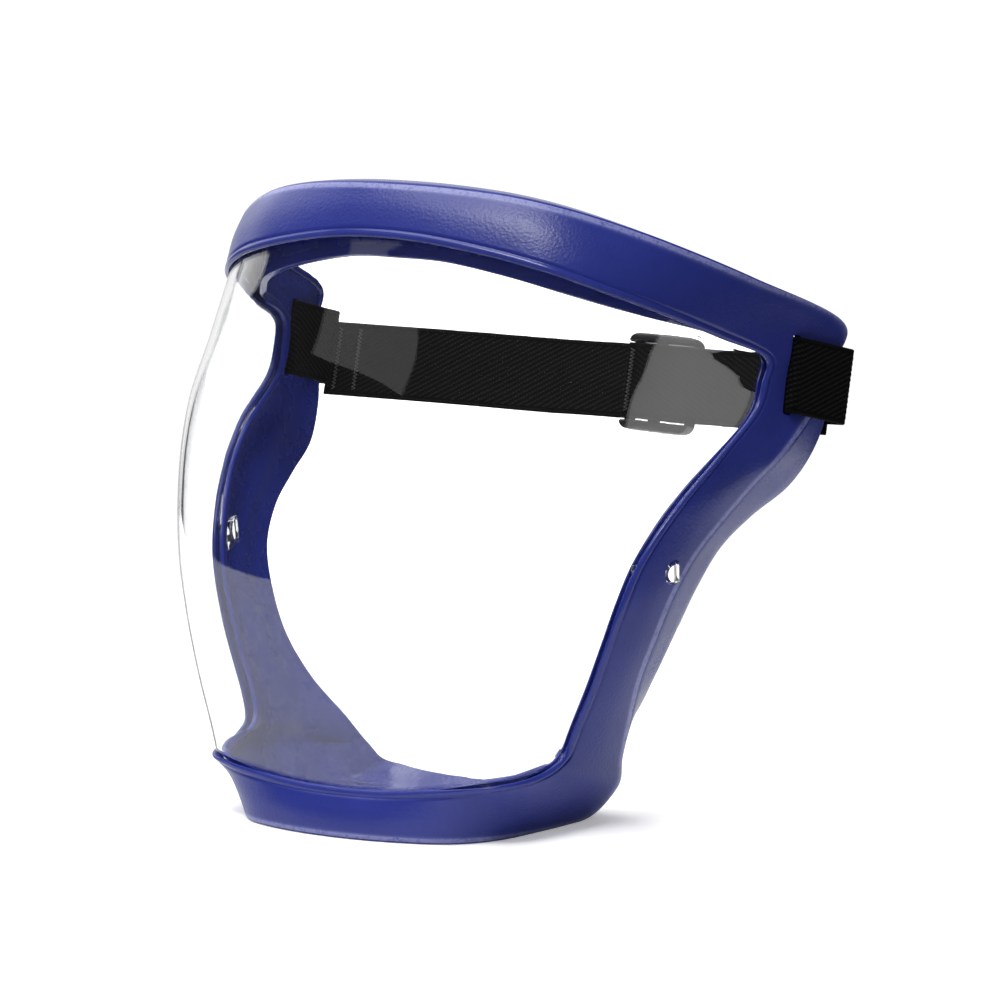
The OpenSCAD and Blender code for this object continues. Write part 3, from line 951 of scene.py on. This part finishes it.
def build_camera():
    """From the wearer's left front, a little above."""
    turn = math.radians(33)
    rise = math.radians(8)
    distance = 2.3
    target = Vector((0, 0.0235, 0.0939))
    back = Vector((math.sin(turn) * math.cos(rise), -math.cos(turn) * math.cos(rise), math.sin(rise)))
    data = bpy.data.cameras.new("camera")
    data.sensor_width = 36
    data.lens = 260.8
    data.clip_end = 50
    camera = bpy.data.objects.new("camera", data)
    scene.collection.objects.link(camera)
    aim(camera, target + back * distance, target)
    scene.camera = camera


def softbox(name, place, target, width, height, power):
    data = bpy.data.lights.new(name, "AREA")
    data.shape = "RECTANGLE"
    data.size = width
    data.size_y = height
    data.energy = power
    lamp = bpy.data.objects.new(name, data)
    scene.collection.objects.link(lamp)
    aim(lamp, place, target)
    return lamp


def build_floor():
    """White paper under the object; it ends in front, so the visor mirrors a dark room there."""
    mesh = bpy.data.meshes.new("floor")
    low_x, high_x, low_y, high_y = -0.9, 0.3, -0.36, 0.34
    corners = [(low_x, low_y, 0), (high_x, low_y, 0), (high_x, high_y, 0), (low_x, high_y, 0)]
    mesh.from_pydata(corners, [], [(0, 1, 2, 3)])
    floor = bpy.data.objects.new("floor", mesh)
    scene.collection.objects.link(floor)
    mat, shader = new_material("paper")
    tone = colours(mat, noise(mat, 300), (0.3, (0.9, 0.9, 0.9)), (0.7, (0.92, 0.92, 0.92)))
    glow = ranged(mat, seen_directly(mat), 0, 0.3)
    feed(mat, shader, {"Base Color": tone, "Roughness": 0.9, "Specular IOR Level": 0.1,
                       "Emission Color": (1, 1, 1, 1), "Emission Strength": glow})
    mesh.materials.append(mat)


def seen_directly(holder):
    """1 where the camera looks straight or through a clear piece, 0 in light and mirror images."""
    path = add_node(holder, "ShaderNodeLightPath").outputs
    seen = math_node(holder, "MAXIMUM", path["Is Camera Ray"], path["Is Transmission Ray"])
    mirrored = math_node(holder, "MINIMUM", path["Glossy Depth"], 1.0)
    return math_node(holder, "MULTIPLY", seen, math_node(holder, "SUBTRACT", 1.0, mirrored))


def build_world():
    """Plain white where the camera looks, soft light for matt surfaces and a dim room in gloss."""
    world = bpy.data.worlds.new("studio")
    scene.world = world
    world.use_nodes = True
    lit = add_node(world, "ShaderNodeLightPath").outputs["Is Diffuse Ray"]
    room = ranged(world, lit, 0.05, 0.26)
    strength = ranged(world, seen_directly(world), room, 1.05)
    feed(world, world.node_tree.nodes["Background"], {"Color": (1, 1, 1, 1), "Strength": strength})


MIDDLE = (0, 0, 0.1)


def round_the_object(azimuth, elevation, distance):
    """A place that far from the object; azimuth 0 is in front of the face and 90 to its left."""
    turn = math.radians(azimuth)
    rise = math.radians(elevation)
    return Vector((distance * math.sin(turn) * math.cos(rise),
                   -distance * math.cos(turn) * math.cos(rise),
                   MIDDLE[2] + distance * math.sin(rise)))


CLEAR_PIECES = ("clear_visor", "visor_clips")


def build_lights():
    """Softboxes: name, azimuth, elevation, distance, width, height, radiance and what they light."""
    boxes = [
        ("top", -60, 74, 1.7, 1.5, 1.2, 4.2, "all"),
        ("key", 12, 56, 1.5, 0.5, 0.3, 26, "matt"),
        ("brow_fill", -12, 61, 1.5, 1.8, 0.3, 0.9, "all"),
        ("front_fill", -36, 36, 1.6, 0.9, 0.34, 0.45, "all"),
        ("side", -101, 27, 1.5, 0.9, 0.8, 1.8, "all"),
        ("left_card", -136, 12, 1.6, 1.5, 2.3, 0.9, "all"),
        ("backdrop", 122, 6, 1.8, 0.7, 0.5, 1.2, "clear")]
    for name, azimuth, elevation, distance, width, height, radiance, lit in boxes:
        power = radiance * width * height * math.pi
        place = round_the_object(azimuth, elevation, distance)
        lamp = softbox(name, place, MIDDLE, width, height, power)
        if lit != "all":
            light_only(lamp, lit == "clear")


def light_only(lamp, clear):
    """Flags a lamp off the clear pieces, or off everything else, so it leaves no glare there."""
    group = bpy.data.collections.new("lit_by_" + lamp.name)
    for obj in scene.objects:
        if obj.type == "MESH" and (obj.name in CLEAR_PIECES) == clear:
            group.objects.link(obj)
    lamp.light_linking.receiver_collection = group


# ---- the whole object ----
def dress(obj, body, slot, mat, *nodes):
    """Gives a piece its material and body, and hides the CAD nodes it stands for; slot is not used."""
    obj.data.materials.clear()
    obj.data.materials.append(mat)
    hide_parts(*nodes)
    if body:
        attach(obj, body)
    return obj


def build_object():
    blue = frame_plastic()
    clear = clear_plastic("visor_polycarbonate", (0.985, 0.99, 0.995), 0.0)
    black_web = webbing_fabric()
    black_plastic = slider_plastic()
    black_thread = thread_fibre()
    dress(build_frame(), "frame", "frame_plastic", blue, "face_frame")
    dress(build_visor(), "frame", "clear_visor", clear, "visor")
    dress(build_clips(), "frame", "clear_visor", clear, "visor")
    for side, name in ((1, "left"), (-1, "right")):
        dress(loop("webbing_loop_" + name, side), "frame", "webbing", black_web, "strap_loop_" + name)
    dress(layer("webbing_span", -SPAN_END, SPAN_END, MAIN_LEVEL, -SPAN_END),
          "strap", "webbing", black_web, "strap_span")
    dress(layer("webbing_tail", TAIL_END, SPAN_END, TAIL_LEVEL, TAIL_END, -1),
          "strap", "webbing", black_web, "strap_tail")
    ends = [
        ("webbing_end_left", 1, MAIN_LEVEL, 1, "strap_end_left"),
        ("webbing_tail_end", 1, TAIL_LEVEL, -1, "strap_end_left"),
        ("webbing_end_right", -1, MAIN_LEVEL, 1, "strap_end_right")]
    for name, side, level, hand, node in ends:
        low, high = sorted((side * SPAN_END, side * SPAN_ROOT))
        piece = layer(name, low, high, level, low, hand)
        dress(piece, None, "webbing", black_web, node)
        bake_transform(piece)
    tacks = [bar_tack("tack", from_end - SPAN_ROOT, MAIN_LEVEL) for from_end in LOOP_TACKS]
    threads = dress(join("loop_threads", tacks), None, "thread", black_thread, "loop_stitching")
    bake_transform(threads)
    dress(bar_tack("tail_thread", TAIL_END + TAIL_TACK, TAIL_LEVEL),
          "strap", "thread", black_thread, "tail_stitching")
    dress(build_slider(), "slider", "slider_plastic", black_plastic, "strap_slider")


build_object()
build_floor()
build_world()
build_lights()
build_camera()
scene.view_settings.view_transform = "Standard"
